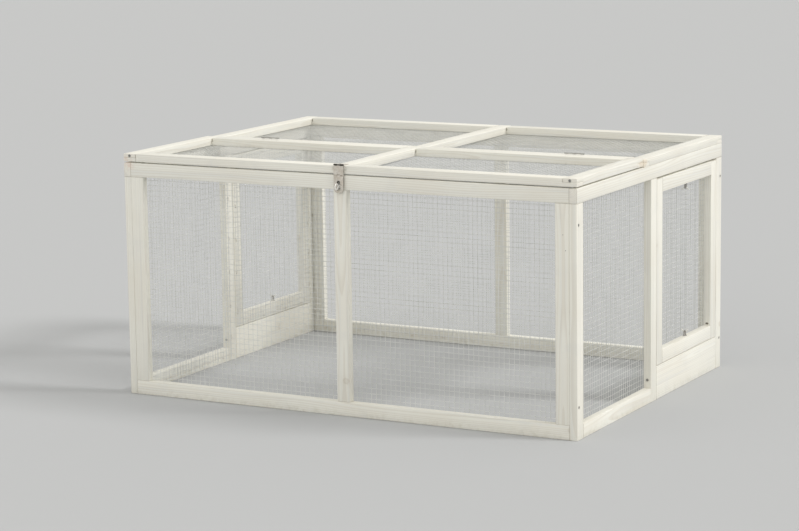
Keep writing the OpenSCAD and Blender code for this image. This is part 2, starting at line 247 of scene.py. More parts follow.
PAINT_WHITE = (0.865, 0.858, 0.79)
PAINT_CREAM = (0.835, 0.815, 0.735)
PAINT_GREY = (0.765, 0.765, 0.725)
KNOT_STAIN = (0.56, 0.50, 0.41)
GRAIN_STAIN = (0.66, 0.61, 0.515)
BARE_WOOD = (0.80, 0.70, 0.56)
END_STAIN = (0.77, 0.61, 0.52)
SEAM_STAIN_AND_SHADE = (0.40, 0.375, 0.30)
SOIL = (0.46, 0.43, 0.31)
RING = 3.4 * MM
RING_WANDER = 26 * MM
RING_UNEVEN = 4.5 * MM
KNOT_CELL = 110 * MM
KNOT_R = 0.085
SPLASH_H = 26 * MM
STILE_KNOT_COLOR = (0.13, 0.11, 0.085)
ZINC_DARK = (0.63, 0.59, 0.525)
ZINC_LIGHT = (0.745, 0.705, 0.64)
ZINC_BROWN = (0.57, 0.505, 0.42)
KNUCKLE_SHADE = (0.05, 0.045, 0.035)
STEM_DARK = (0.13, 0.12, 0.105)
WIRE_DARK = (0.66, 0.67, 0.65)
WIRE_LIGHT = (0.76, 0.765, 0.745)
WIRE_BLOOM = (0.83, 0.83, 0.81)
STEEL_DARK = (0.30, 0.30, 0.29)
STEEL_LIGHT = (0.42, 0.42, 0.40)
RUST = (0.26, 0.16, 0.09)

# Marks at one place each: a point of the drawing, and its reach along X, Y and Z.
BARE_SPOT = (RUN_W, 377, 577), (5, 28, 10)
SOAKED_CORNER = (6, 0, 566), (34, 20, 26)
LID_SEAM = (BAR_W, 0, 579), (1.7, 3, 12)
STILE_KNOT = (1181, 810, 121.5), (4.6, 4, 2.8)
PIN_KNUCKLE_SHADE = (HASP_X, HASP_Y, UPPER_PIN_Z), (1000, 2.6, 2.6)


def away_from(mat, place, mark):
    """How far a place is from a mark's point, where 1 is the mark's own reach."""
    point, reaches = mark
    offset = mat.offset(place, tuple(at(*point)))
    x, y, z = [part / (reach * MM) for part, reach in zip(offset, reaches)]
    return (x * x + y * y + z * z) ** 0.5


def painted_timber(axis):
    """White paint on planed softwood whose grain runs along axis 0, 1 or 2."""
    mat = Finish("painted_timber_" + "xyz"[axis], roughness=0.55)
    place = mat.place()
    local = mat.offset(place, mat.attribute("heart"))
    along, side, thick = [local[a] for a in (axis, *others(axis))]

    def drawn_out(lengthwise, across, detail):
        """Noise at one scale along the grain and at another across it."""
        stretched = mat.join(along * lengthwise, side * across, thick * across)
        return mat.noise(stretched, 1.0, detail)

    # growth rings: distance from the heart of the tree, which wanders slowly along the board
    wander = drawn_out(1.6, 9, 2.0) - 0.5
    radius = (side * side + thick * thick) ** 0.5 + wander * RING_WANDER
    spacing = mat.noise(mat.join(radius * 130, along * 0.4, 0.0), 1.0, detail=1.0) - 0.5
    ring = ((radius + spacing * RING_UNEVEN) / RING).fraction()
    late = mat.step(ring, 0.35, 0.9) * mat.step(ring, 1.0, 0.93)
    fibres = drawn_out(14, 900, 3.0)
    streaks = drawn_out(2.4, 120, 3.0)

    # knots, now and then, with a dark rim
    knot_place = mat.join(along, side * 0.9, thick * 0.9)
    ragged = mat.noise(knot_place, 160.0, detail=2.0) * 0.05
    knot_distance = mat.cells(knot_place, 1 / KNOT_CELL) + ragged
    knot = mat.step(knot_distance, KNOT_R + 0.03, KNOT_R - 0.02)
    rim = mat.step(knot_distance, KNOT_R - 0.035, KNOT_R) * knot
    halo = mat.step(knot_distance, KNOT_R + 0.16, KNOT_R)

    # the paint: broad cream and grey clouds, with the grain showing through
    end_grain, arris, joint_shade = mat.parts(mat.attribute("cut"))
    tone = mat.noise(place, 5.0, detail=3.0)
    cloud = mat.noise(place, 17.0, detail=4.0, roughness=0.6)
    color = mat.blend(mat.step(tone, 0.35, 0.7), PAINT_WHITE, PAINT_CREAM)
    color = mat.blend(mat.step(streaks, 0.46, 0.70) * 0.60, color, PAINT_GREY)
    color = mat.blend(mat.step(cloud, 0.52, 0.74) * 0.45, color, PAINT_GREY)
    color = mat.blend(late * (0.20 + 0.30 * streaks), color, GRAIN_STAIN)
    color = mat.blend(halo * 0.07 + knot * 0.20 + rim * 0.22, color, KNOT_STAIN)
    rubbed = mat.step(mat.noise(place, 38.0, detail=4.0), 0.60, 0.72)
    color = mat.blend(arris * rubbed * 0.18, color, GRAIN_STAIN)
    # painted shade: the sides of the slits and the rounded rims of board ends are darkened
    color = mat.blend(joint_shade * 0.6, color, SEAM_STAIN_AND_SHADE)

    # the paint has soaked in at one corner, and a little on all end grain
    corner = mat.step(away_from(mat, place, SOAKED_CORNER), 1.0, 0.3)
    soaked = mat.step(mat.noise(place, 85.0, detail=3.0), 0.36, 0.64)
    color = mat.blend(corner * soaked * 0.6 + end_grain * 0.06, color, END_STAIN)

    # a little soil splashed up from the ground
    height = mat.parts(place)[2]
    splash = mat.noise(place, 70.0, detail=5.0, roughness=0.65)
    low_down = mat.step(height, SPLASH_H, 0.0)
    color = mat.blend(low_down * mat.step(splash, 0.40, 0.75) * 0.30, color, SOIL)

    # on stiles the dark knot, and on rails the stained seam and the patch where the paint is off
    if axis == 2:
        ragged_spot = away_from(mat, place, STILE_KNOT) + (splash - 0.5) * 0.4
        color = mat.blend(mat.step(ragged_spot, 1.05, 0.75) * 0.95, color, STILE_KNOT_COLOR)
    else:
        seam = mat.step(away_from(mat, place, LID_SEAM), 1.1, 0.6)
        color = mat.blend(seam * 0.45, color, SEAM_STAIN_AND_SHADE)
        bare = mat.step(away_from(mat, place, BARE_SPOT) + (splash - 0.5) * 1.1, 1.15, 0.55)
        wood = mat.blend(late * 0.4 + fibres * 0.3, BARE_WOOD, GRAIN_STAIN)
        color = mat.blend(bare * 0.75, color, wood)
    roughness = 0.46 + fibres * 0.16 + knot * 0.08

    # brush marks along the grain, raised late wood and the rim of each knot
    brush = drawn_out(8, 420, 2.0)
    orange_peel = mat.noise(place, 900.0, detail=1.0)
    relief = late * 0.45 + brush * 0.40 + fibres * 0.25 + orange_peel * 0.12 + rim * 0.9 - knot * 0.3
    return mat.done(color, roughness, relief, 0.16 * MM, 0.75)


def galvanised_wire():
    """Zinc coated wire, dull, in lighter and darker patches with a pale bloom."""
    mat = Finish("galvanised_wire", roughness=0.5, metallic=0.35)
    place = mat.place()
    patches = mat.noise(place, 26.0, detail=3.0)
    bloom = mat.step(mat.noise(place, 240.0, detail=3.0), 0.45, 0.7)
    color = mat.blend(mat.step(patches, 0.35, 0.65), WIRE_DARK, WIRE_LIGHT)
    color = mat.blend(bloom * 0.35, color, WIRE_BLOOM)
    relief = mat.noise(place, 1500.0, detail=2.0)
    return mat.done(color, 0.42 + bloom * 0.25, relief, 0.06 * MM, 0.6)


def zinc_plate():
    """Pressed plates, dulled brown outdoors, with black painted shade round the hasp's upper pin."""
    mat = Finish("zinc_plate", roughness=0.4, metallic=0.6)
    place = mat.place()
    spangle = mat.cells(place, 420.0, out="Color")
    level = mat.parts(spangle)[0]
    dull = mat.step(mat.noise(place, 90.0, detail=4.0), 0.42, 0.62)
    color = mat.blend(level, ZINC_DARK, ZINC_LIGHT)
    color = mat.blend(dull * 0.45, color, ZINC_BROWN)
    # painted shade: black along the hasp's upper pin where the knuckles meet, which also dulls the metal
    # there
    pin = away_from(mat, place, PIN_KNUCKLE_SHADE)
    pin_shade = mat.step(pin + (mat.noise(place, 300.0) - 0.5) * 0.4, 1.2, 0.9)
    color = mat.blend(pin_shade * 0.93, color, KNUCKLE_SHADE)
    mat.set("Metallic", 0.6 - pin_shade * 0.4)
    roughness = 0.32 + dull * 0.22 + level * 0.08 + pin_shade * 0.2
    relief = level * 0.4 + mat.noise(place, 700.0, detail=3.0)
    return mat.done(color, roughness, relief, 0.05 * MM, 0.5)


def bright_zinc(name, metallic, light, dulled):
    """Zinc brighter than the pressed plates, in a lighter and a dulled color, and dark on a stem."""
    mat = Finish(name, roughness=0.32, metallic=metallic)
    place = mat.place()
    cloud = mat.noise(place, 160.0, detail=4.0)
    dull = mat.step(cloud, 0.45, 0.68)
    stem = mat.parts(mat.attribute("stem"))[0]
    color = mat.blend(dull, light, dulled)
    color = mat.blend(stem * (0.65 + dull * 0.25), color, STEM_DARK)
    relief = mat.noise(place, 1100.0, detail=3.0)
    return mat.done(color, 0.26 + dull * 0.28, relief, 0.05 * MM, 0.5)


def weathered_steel():
    """Screws and hinge pins, darkened outdoors with a little rust in the recesses."""
    mat = Finish("weathered_steel", roughness=0.45, metallic=0.8)
    place = mat.place()
    cloud = mat.noise(place, 500.0, detail=4.0)
    rust = mat.step(cloud, 0.56, 0.70)
    color = mat.blend(mat.noise(place, 120.0), STEEL_DARK, STEEL_LIGHT)
    color = mat.blend(rust * 0.6, color, RUST)
    mat.set("Metallic", 0.8 - rust * 0.5)
    return mat.done(color, 0.38 + rust * 0.35, cloud, 0.08 * MM, 0.6)


TIMBER = [painted_timber(axis) for axis in range(3)]
WIRE = galvanised_wire()
ZINC = zinc_plate()
# the turning eye and the wing screws, and the hinges, which are paler still: near-white pale zinc with a
# painted highlight
BRIGHT = bright_zinc("bright_zinc", 0.4, (0.91, 0.90, 0.87), (0.76, 0.75, 0.705))
PALE_ZINC_AND_HIGHLIGHT = bright_zinc("pale_zinc", 0.1, (0.94, 0.935, 0.91), (0.87, 0.86, 0.83))
STEEL = weathered_steel()

# ---- modelling helpers


def only(*pieces):
    """Selects these objects alone and makes the first one active."""
    bpy.ops.object.select_all(action="DESELECT")
    for piece in pieces:
        piece.select_set(True)
    bpy.context.view_layer.objects.active = pieces[0]


def added(name):
    """Names the object that a primitive operator has just added."""
    piece = bpy.context.active_object
    piece.name = name
    piece.data.name = name
    return piece


def settle(piece):
    """Puts the object's place into its mesh."""
    only(piece)
    bpy.ops.object.transform_apply(location=True, rotation=True, scale=True)


def block(name, low, high):
    """A box between two corners, in metres."""
    bpy.ops.object.select_all(action="DESELECT")
    low, high = Vector(low), Vector(high)
    bpy.ops.mesh.primitive_cube_add(size=1, location=(low + high) / 2)
    piece = added(name)
    piece.scale = high - low
    settle(piece)
    return piece


def round_bar(name, start, axis, radius, length, sides=24):
    """A round bar from a place along axis "x", "y" or "z"; its radius and length are millimetres."""
    turns = {"x": (0, math.pi / 2, 0), "y": (-math.pi / 2, 0, 0), "z": (0, 0, 0)}
    bpy.ops.object.select_all(action="DESELECT")
    bpy.ops.mesh.primitive_cylinder_add(
        vertices=sides,
        radius=radius * MM,
        depth=abs(length) * MM,
        location=Vector(start) + along_axis("xyz".index(axis), length * MM / 2),
        rotation=turns[axis],
    )
    piece = added(name)
    settle(piece)
    return piece


class Bench:
    """Edit mode on one piece: pick parts of the mesh by their place, then work on them."""

    def __init__(self, piece):
        self.piece = piece

    def __enter__(self):
        only(self.piece)
        bpy.ops.object.mode_set(mode="EDIT")
        return self

    def __exit__(self, *error):
        bpy.ops.object.mode_set(mode="OBJECT")

    def pick_all(self):
        bpy.ops.mesh.select_mode(type="VERT")
        bpy.ops.mesh.select_all(action="SELECT")

    def _pick(self, kind, test):
        bpy.ops.mesh.select_mode(type=kind)
        bpy.ops.mesh.select_all(action="DESELECT")
        mesh = bmesh.from_edit_mesh(self.piece.data)
        mesh.normal_update()
        for part in mesh.faces if kind == "FACE" else mesh.edges:
            part.select_set(bool(test(part)))
        mesh.select_flush_mode()
        bmesh.update_edit_mesh(self.piece.data)

    def pick_faces(self, test):
        """Selects the faces for which test(centre, normal) is true."""
        self._pick("FACE", lambda face: test(face.calc_center_median(), face.normal))

    def pick_edges(self, test):
        """Selects the edges for which test(edge) is true."""
        self._pick("EDGE", test)

    def pick_knuckles(self, way, beyond, spans):
        """Selects the faces that look up or down, past a height and within spans along X."""
        self.pick_faces(
            lambda centre, normal: normal.z * way > 0.9
            and centre.z * way > beyond * way * MM
            and any(low * MM < centre.x < high * MM for low, high in spans)
        )

    def bevel(self, width, segments):
        """Rounds the selected edges over a width in millimetres."""
        bpy.ops.mesh.bevel(offset=width * MM, offset_type="OFFSET", segments=segments, affect="EDGES")

    def extrude(self, x, y, z):
        """Draws the selected faces out, by a step in millimetres."""
        bpy.ops.mesh.extrude_region_move(TRANSFORM_OT_translate={"value": tuple(mm(x, y, z))})

    def scale(self, x, y, z):
        """Scales what is picked about its own middle."""
        bpy.ops.transform.resize(value=(x, y, z))

    def cut(self, point, normal):
        self.pick_all()
        bpy.ops.mesh.bisect(plane_co=point, plane_no=normal)

    def roll(self, angle, steps, centre):
        """Curls the selected faces round a line along X."""
        bpy.ops.mesh.spin(steps=steps, dupli=False, angle=angle, center=centre, axis=(1, 0, 0))

    def tidy(self):
        self.pick_all()
        bpy.ops.mesh.remove_doubles(threshold=0.002 * MM)
        bpy.ops.mesh.normals_make_consistent(inside=False)


def sharp(edge, degrees=30):
    """True on an outward corner that is sharper than the angle."""
    return len(edge.link_faces) == 2 and edge.is_convex and edge.calc_face_angle(0) > math.radians(degrees)


def runs_along(edge, axis):
    way = edge.verts[1].co - edge.verts[0].co
    return abs(way[axis]) > 0.99 * way.length


def round_off(piece, width, segments):
    """Rounds every outward corner of a piece that is sharper than 60 degrees."""
    with Bench(piece) as bench:
        bench.pick_edges(lambda edge: sharp(edge, 60))
        bench.bevel(width, segments)


def smooth(piece, degrees=35):
    only(piece)
    bpy.ops.object.shade_smooth_by_angle(angle=math.radians(degrees))


def cut_away(piece, *tools):
    """Cuts tools out of a piece and removes them."""
    for tool in tools:
        only(piece)
        modifier = piece.modifiers.new("cut", "BOOLEAN")
        modifier.operation = "DIFFERENCE"
        modifier.solver = "EXACT"
        modifier.object = tool
        bpy.ops.object.modifier_apply(modifier="cut")
        bpy.data.objects.remove(tool, do_unlink=True)


def joined(name, pieces):
    only(*pieces)
    bpy.ops.object.join()
    return added(name)


def copy_of(piece, matrix):
    """A copy with its own mesh, moved by a matrix."""
    twin = piece.copy()
    twin.data = piece.data.copy()
    twin.data.transform(matrix)
    bpy.context.scene.collection.objects.link(twin)
    return twin


def drop(*pieces):
    for piece in pieces:
        bpy.data.objects.remove(piece, do_unlink=True)


def dress(piece, material, slot, body, *nodes):
    """Gives a finished piece its material and its body, and hides the nodes that it stands for; the slot is
    not used.
    """
    piece.data.materials.clear()
    piece.data.materials.append(material)
    if nodes:
        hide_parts(*nodes)
    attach(piece, body)
    return piece


def body_of(node):
    return next(body for body, nodes in frame["record"]["behaviour"]["bodies"].items() if node in nodes)


# ---- timber

ARRIS = 1.7
END_ARRIS = 0.8
SQUARE = 0.97
# painted shade on the rounded rims of board ends: on the walls, and on the lid and roof
END_RIM_SHADE = 0.8
LAPPED_END_RIM_SHADE = 0.12
HEART_REACH = (12, 38)
HEART_ALONG = 4000
REAR_STILE_SEED = 100
SCREW_HOLE_R = 3.8
SCREW_HOLE_DEPTH = 2.4
SCREW_HOLE_PROUD = 0.3
CORNER_SCREW_Z = (75, WALL_H - 82)
BOARD_SCREW_Z = 54
LID_SCREW_Z = LID_Z + 13.8
MID_STILE_Y = 425
WALL_MID = BAR_T / 2


def ease_edges(piece, grain):
    """Rounds the long corners of a board, and breaks the corners of its ends."""
    with Bench(piece) as bench:
        bench.pick_edges(lambda edge: sharp(edge) and runs_along(edge, grain))
        bench.bevel(ARRIS, 3)
        bench.pick_edges(lambda edge: sharp(edge, 50) and not runs_along(edge, grain))
        bench.bevel(END_ARRIS, 2)


def plant_heart(piece, middle, grain, seed):
    """Stores where the heart of the tree ran past a board, for its growth rings."""
    draw = random.Random(seed)
    heart = middle.copy()
    angle = draw.uniform(0, 2 * math.pi)
    reach = draw.uniform(*HEART_REACH) * MM
    side, thick = others(grain)
    heart[side] += math.cos(angle) * reach
    heart[thick] += math.sin(angle) * reach
    heart[grain] += draw.uniform(-HEART_ALONG, HEART_ALONG) * MM
    layer = piece.data.attributes.new("heart", "FLOAT_VECTOR", "POINT")
    for value in layer.data:
        value.vector = heart


def mark_faces(piece, low, high, grain, rim):
    """Stores which faces are end grain or a long rounded corner, and how much painted shade a face takes:
    rim on the rounded rim of an end, and 1 on the side of a slit, between low and high."""
    layer = piece.data.attributes.new("cut", "FLOAT_VECTOR", "FACE")
    for face, value in zip(piece.data.polygons, layer.data):
        flat = max(abs(part) for part in face.normal) > SQUARE
        along = abs(face.normal[grain])
        slit_side = along > SQUARE and low < face.center[grain] < high
        end_grain = along > SQUARE and not slit_side
        long_corner = not flat and along < 0.1
        end_rim = not flat and along >= 0.1
        value.vector = (end_grain, long_corner, slit_side or rim * end_rim)


def end_rail(name, low, high):
    """A rail across the lid or roof: its upper half is cut away under the long bars."""
    half = (low[2] + high[2]) / 2
    piece = block(name, low, (high[0], high[1], half))
    bar = BAR_W * MM
    slit = (FRONT_SLIT if name.startswith("lid_front") else LAP_SLIT) * MM
    middle = (low[0] + high[0]) / 2
    spans = [(low[0] + bar + slit, middle - bar / 2 - slit), (middle + bar / 2 + slit, high[0] - bar - slit)]
    with Bench(piece) as bench:
        for x in [x for span in spans for x in span]:
            bench.cut((x, low[1], half), (1, 0, 0))
        bench.pick_faces(
            lambda centre, normal: normal.z > 0.9 and any(a < centre.x < b for a, b in spans)
        )
        bench.extrude(0, 0, (high[2] - half) / MM)
        bench.tidy()
    return piece


def long_bar(name, low, high):
    """A bar from front to back on the lid or roof: only its upper half reaches over the rails."""
    half = (low[2] + high[2]) / 2
    lap = BAR_W * MM
    piece = block(name, (low[0], low[1] + lap, low[2]), (high[0], high[1] - lap, high[2]))
    with Bench(piece) as bench:
        bench.cut((low[0], low[1], half), (0, 0, 1))
        for way in (-1, 1):
            bench.pick_faces(lambda centre, normal: normal.y * way > 0.9 and centre.z > half)
            bench.extrude(0, way * BAR_W, 0)
        bench.tidy()
    return piece


def screw_hole(x, y, z, axis, way):
    """The countersunk hole of a screw, from a point of the drawing into the timber."""
    start = at(x, y, z)
    start["xyz".index(axis)] -= SCREW_HOLE_PROUD * way * MM
    return round_bar("hole", start, axis, SCREW_HOLE_R, SCREW_HOLE_DEPTH * way, sides=20)


def side_holes(side):
    """Holes in a side panel, by the node that has them."""
    face, middle, inward = (0, WALL_MID, 1) if side == "left" else (RUN_W, RUN_W - WALL_MID, -1)
    return {
        side + "_front_stile": [(face, WALL_MID, z, "x", inward) for z in CORNER_SCREW_Z],
        side + "_rear_stile": [(face, RUN_D - WALL_MID, z, "x", inward) for z in CORNER_SCREW_Z]
        + [(middle, RUN_D, BOARD_SCREW_Z, "y", -1)],
        side + "_middle_stile": [(middle, MID_STILE_Y, BOARD_SCREW_Z, "y", 1)],
    }


HOLES = {
    **side_holes("left"),
    **side_holes("right"),
    "lid_left_rail": [(BAR_W / 2, 0, LID_SCREW_Z, "y", 1)],
    "lid_right_rail": [(RUN_W - BAR_W / 2, 0, LID_SCREW_Z, "y", 1)],
}


def timber_piece(node, low, high, name, seed):
    """A board between two corners, lapped on the lid and roof, with its material."""
    low, high = Vector(low), Vector(high)
    grain = max(range(3), key=lambda axis: high[axis] - low[axis])
    lapped = node.startswith(("lid_", "roof_"))
    shape = block if not lapped else (end_rail if grain == 0 else long_bar)
    piece = shape(name, low, high)
    ease_edges(piece, grain)
    rim = LAPPED_END_RIM_SHADE if lapped else END_RIM_SHADE
    mark_faces(piece, low[grain] + 1 * MM, high[grain] - 1 * MM, grain, rim)
    cut_away(piece, *[screw_hole(*hole) for hole in HOLES.get(node, [])])
    smooth(piece)
    plant_heart(piece, (low + high) / 2, grain, seed)
    return piece, TIMBER[grain]


def build_timber():
    rows = [row for row in frame["record"]["subparts"] if row["material_slot"] == "painted_timber"]
    bar = BAR_W * MM
    for seed, row in enumerate(rows):
        node = row["node"]
        board = node + "_board"
        low, high = corners(node)
        if node.endswith("_door_stiles"):
            front_high = (high[0], low[1] + bar, high[2])
            rear_low = (low[0], high[1] - bar, low[2])
            front, look = timber_piece(node, low, front_high, board, seed)
            rear, _ = timber_piece(node, rear_low, high, node + "_rear", seed + REAR_STILE_SEED)
            piece = joined(board, [front, rear])
        else:
            piece, look = timber_piece(node, low, high, board, seed)
        dress(piece, look, "painted_timber", body_of(node), node)


build_timber()

# ---- netting

WIRE_SIDES = 6
WIRE_CUTS = 6
STUB = 3.5 * MM
LAYER_STEP = 0.7 * MM
HELD = 0.16
SWELL = 1.1 * MM
WAVE = 0.5 * MM
NET_SEED = 40


def wire_row(name, start, along, across, length, count):
    """Parallel wires: one is made, cut into short lengths and repeated. All in metres."""
    wire = round_bar(name, start, "xyz"[along], WIRE_R, length / MM, sides=WIRE_SIDES)
    with Bench(wire) as bench:
        for cut in range(1, WIRE_CUTS):
            point = Vector(start)
            point[along] += length * cut / WIRE_CUTS
            bench.cut(point, along_axis(along))
    only(wire)
    array = wire.modifiers.new("row", "ARRAY")
    array.count = count
    array.use_relative_offset = False
    array.use_constant_offset = True
    array.constant_offset_displace = along_axis(across, MESH * MM)
    bpy.ops.object.modifier_apply(modifier="row")
    return wire


def slacken(piece, low, high, normal, belly, seed):
    """Lets a net hang a little slack between its frame, and its wires run not quite straight.
    Near the edges, over the share HELD of its sides, it is more and more tightly held."""
    draw = random.Random(seed)
    plane = others(normal)
    phases = [draw.uniform(0, 2 * math.pi) for _ in range(5)]
    for vertex in piece.data.vertices:
        u, v = [(vertex.co[a] - low[a]) / (high[a] - low[a]) for a in plane]
        loose = math.prod(max(0.0, min(part, 1 - part, HELD) / HELD) for part in (u, v))
        sag = belly * math.sin(math.pi * u) * math.sin(math.pi * v)
        swell = math.sin(7 * u + phases[0]) * math.cos(5 * v + phases[1])
        swell += 0.6 * math.sin(13 * u + phases[2])
        vertex.co[normal] += loose * (sag + SWELL * swell)
        vertex.co[plane[0]] += loose * WAVE * math.sin(9 * v + 17 * u + phases[3])
        vertex.co[plane[1]] += loose * WAVE * math.sin(11 * u + 23 * v + phases[4])


def net(node, normal, outward, belly, seed):
    """Welded netting in the place of a net node. outward is the side that lies on the timber."""
    low, high = corners(node)
    plane = others(normal)
    timber_face = high[normal] if outward > 0 else low[normal]
    layers = []
    for depth, (along, across) in enumerate(((plane[1], plane[0]), (plane[0], plane[1]))):
        span = high[across] - low[across]
        count = int((span - 2 * STUB) / (MESH * MM)) + 1
        start = low.copy()
        start[across] += (span - (count - 1) * MESH * MM) / 2
        start[normal] = timber_face - outward * (WIRE_R * MM + depth * LAYER_STEP)
        layers.append(wire_row(node + "_wires", start, along, across, high[along] - low[along], count))
    piece = joined(node + "_wires", layers)
    slacken(piece, low, high, normal, belly, seed)
    smooth(piece, 80)
    dress(piece, WIRE, "netting", body_of(node), node)


# by node: the axis across the net, the side of it that the timber is on, and how far it sags
NETS = {
    "front_net": (1, -1, 0.0),
    "back_net": (1, 1, 0.0),
    "left_net": (0, -1, 0.0),
    "right_net": (0, 1, 0.0),
    "left_door_net": (0, -1, 0.0),
    "right_door_net": (0, 1, 0.0),
    "roof_net": (2, 1, -4.0),
    "lid_net": (2, 1, -3.0),
}
for number, (node, (normal, outward, belly)) in enumerate(NETS.items()):
    net(node, normal, outward, belly * MM, NET_SEED + number)

# ---- screws and staples

HEAD_R = 3.4
HEAD_H = 2.6
HEAD_SINK = 0.35
CROSS_LEN = 3.8
CROSS_W = 0.9
CROSS_DEPTH = 1.5
THREAD_R = 1.9
CORNER_SCREW_LEN = 40
LID_SCREW_LEN = 55
LITTLE_HEAD_R = 2.9
LITTLE_HEAD_H = 0.8
LITTLE_SHANK_R = 1.4
LITTLE_LEN = 13.5
LITTLE_SINK = 0.05
HEAD_TURN = 0.7


def slot_cutter(length, width, depth):
    """A block that cuts a slot along X in a screw's head, whose face is at Z = 0."""
    return block("slot", mm(-length / 2, -width / 2, -depth), mm(length / 2, width / 2, 1))


def wood_screw(length):
    """A countersunk cross-headed screw at the origin, its head's face at Z = 0, pointing down."""
    shank = round_bar("shank", mm(0, 0, -length), "z", THREAD_R, length - 2, sides=12)
    with Bench(shank) as bench:
        bench.pick_faces(lambda centre, normal: normal.z < -0.9)
        bench.extrude(0, 0, -0.1)
        bench.scale(0.15, 0.15, 1)
    head = round_bar("head", mm(0, 0, -HEAD_H), "z", HEAD_R, HEAD_H)
    with Bench(head) as bench:
        bench.pick_faces(lambda centre, normal: normal.z < -0.9)
        bench.scale(0.55, 0.55, 1)
        bench.pick_edges(lambda edge: sharp(edge, 60) and edge.verts[0].co.z > -1 * MM)
        bench.bevel(0.3, 2)
    for turn in (0, math.pi / 2):
        slot = slot_cutter(CROSS_LEN, CROSS_W, CROSS_DEPTH)
        slot.data.transform(Matrix.Rotation(turn + math.pi / 5, 4, "Z"))
        cut_away(head, slot)
    piece = joined("screw", [head, shank])
    smooth(piece)
    return piece


def aimed(x, y, z, axis, way, sink, turn):
    """A matrix that stands a screw's head on a point of the drawing, driven along way times axis."""
    quarter = way * math.pi / 2
    tips = {"x": Matrix.Rotation(-quarter, 4, "Y"), "y": Matrix.Rotation(quarter, 4, "X"), "z": Matrix()}
    start = at(x, y, z)
    start["xyz".index(axis)] += way * sink * MM
    return Matrix.Translation(start) @ tips[axis] @ Matrix.Rotation(turn, 4, "Z")


def driven(screw, places, sink=HEAD_SINK):
    """A copy of a screw at every place, each head turned further than the one before."""
    return [copy_of(screw, aimed(*place, sink, HEAD_TURN * number)) for number, place in enumerate(places)]


def small_screw():
    """A small slotted screw, its flat head flush with a thin plate."""
    face = mm(0, 0, -LITTLE_HEAD_H)
    head = round_bar("small_head", face, "z", LITTLE_HEAD_R, LITTLE_HEAD_H, sides=20)
    round_off(head, 0.2, 2)
    cut_away(head, slot_cutter(6.4, 0.7, 0.5))
    tip = mm(0, 0, -LITTLE_LEN)
    shank = round_bar("small_shank", tip, "z", LITTLE_SHANK_R, LITTLE_LEN - 0.5, sides=10)
    piece = joined("small_screw", [head, shank])
    smooth(piece)
    return piece


HINGE_XS = (185, 1015)
HINGE_SCREW_DX = 16
HINGE_SCREW_Z = LID_Z + 9
LEAF_T = 0.9
ROOF_Y = 378
EYE_SCREW_DX = 6.5
EYE_SCREW_Z = WALL_H - 10
EYE_ROOT = 6.3
EYE_T = 2.6
HASP_SCREW_DX = 7
HASP_SCREW_Y = 16
BRADS = ((1162.6, 428), (1156, 463))
BRAD_R = 1.3
BRAD_LEN = 12
BRAD_PROUD = 0.05


def brad(x, z):
    """The small dark head of a nail in the front."""
    piece = round_bar("brad", at(x, -BRAD_PROUD, z), "y", BRAD_R, BRAD_LEN, sides=12)
    round_off(piece, 0.25, 1)
    return piece


def pairs(dx, *middles):
    """The places at dx on either side of each middle."""
    return [middle + side * dx for middle in middles for side in (-1, 1)]


def build_screws():
    corner_screw, lid_screw = wood_screw(CORNER_SCREW_LEN), wood_screw(LID_SCREW_LEN)
    little = small_screw()
    frame_places = [hole for node, holes in HOLES.items() if not node.startswith("lid") for hole in holes]
    lid_places = [hole for node, holes in HOLES.items() if node.startswith("lid") for hole in holes]
    hinge_xs = pairs(HINGE_SCREW_DX, *HINGE_XS)
    roof_leaves = [(x, ROOF_Y - LEAF_T, HINGE_SCREW_Z, "y", 1) for x in hinge_xs]
    lid_leaves = [(x, LID_D + LEAF_T, HINGE_SCREW_Z, "y", -1) for x in hinge_xs]
    eye = [(x, -PLATE_T, EYE_SCREW_Z, "y", 1) for x in pairs(EYE_SCREW_DX, HASP_X)]
    hasp = [(x, HASP_SCREW_Y, LID_TOP + PLATE_T, "z", -1) for x in pairs(HASP_SCREW_DX, HASP_X)]
    frame_set = driven(corner_screw, frame_places)
    frame_set += driven(little, roof_leaves, LITTLE_SINK)
    frame_set += driven(little, eye, LITTLE_SINK)
    frame_set += [brad(*place) for place in BRADS]
    lid_set = driven(lid_screw, lid_places)
    lid_set += driven(little, lid_leaves, LITTLE_SINK)
    lid_set += driven(little, hasp, LITTLE_SINK)
    dress(joined("frame_screws_driven", frame_set), STEEL, "steel_screws", "frame", "frame_screws")
    dress(joined("lid_screws_driven", lid_set), STEEL, "steel_screws", "lid", "lid_screws")
    drop(corner_screw, lid_screw, little)


build_screws()

STAPLE_W = 9
STAPLE_WIRE = 0.5
STAPLE_LEG = 5
STAPLE_LEG_W = 1.1
STAPLE_STEP = 88
STAPLE_STRAY = 9
STAPLE_IN = (3.2, 5.2)
STAPLE_LEAN = 0.35
STAPLE_SEED = 70


def staple():
    """A wire staple at the origin: its crown lies along X, its legs point along -Z."""
    half = STAPLE_W / 2
    leg = half - STAPLE_LEG_W
    crown = block("staple", mm(-half, -STAPLE_WIRE, 0), mm(half, STAPLE_WIRE, 1.2 * STAPLE_WIRE))
    with Bench(crown) as bench:
        for x in (-leg, leg):
            bench.cut(mm(x, 0, 0), (1, 0, 0))
        bench.pick_faces(lambda centre, normal: normal.z < -0.9 and abs(centre.x) > leg * MM)
        bench.extrude(0, 0, -STAPLE_LEG)
        bench.pick_edges(lambda edge: sharp(edge, 60) and edge.verts[0].co.z > 0)
        bench.bevel(0.22, 2)
    smooth(crown)
    return crown


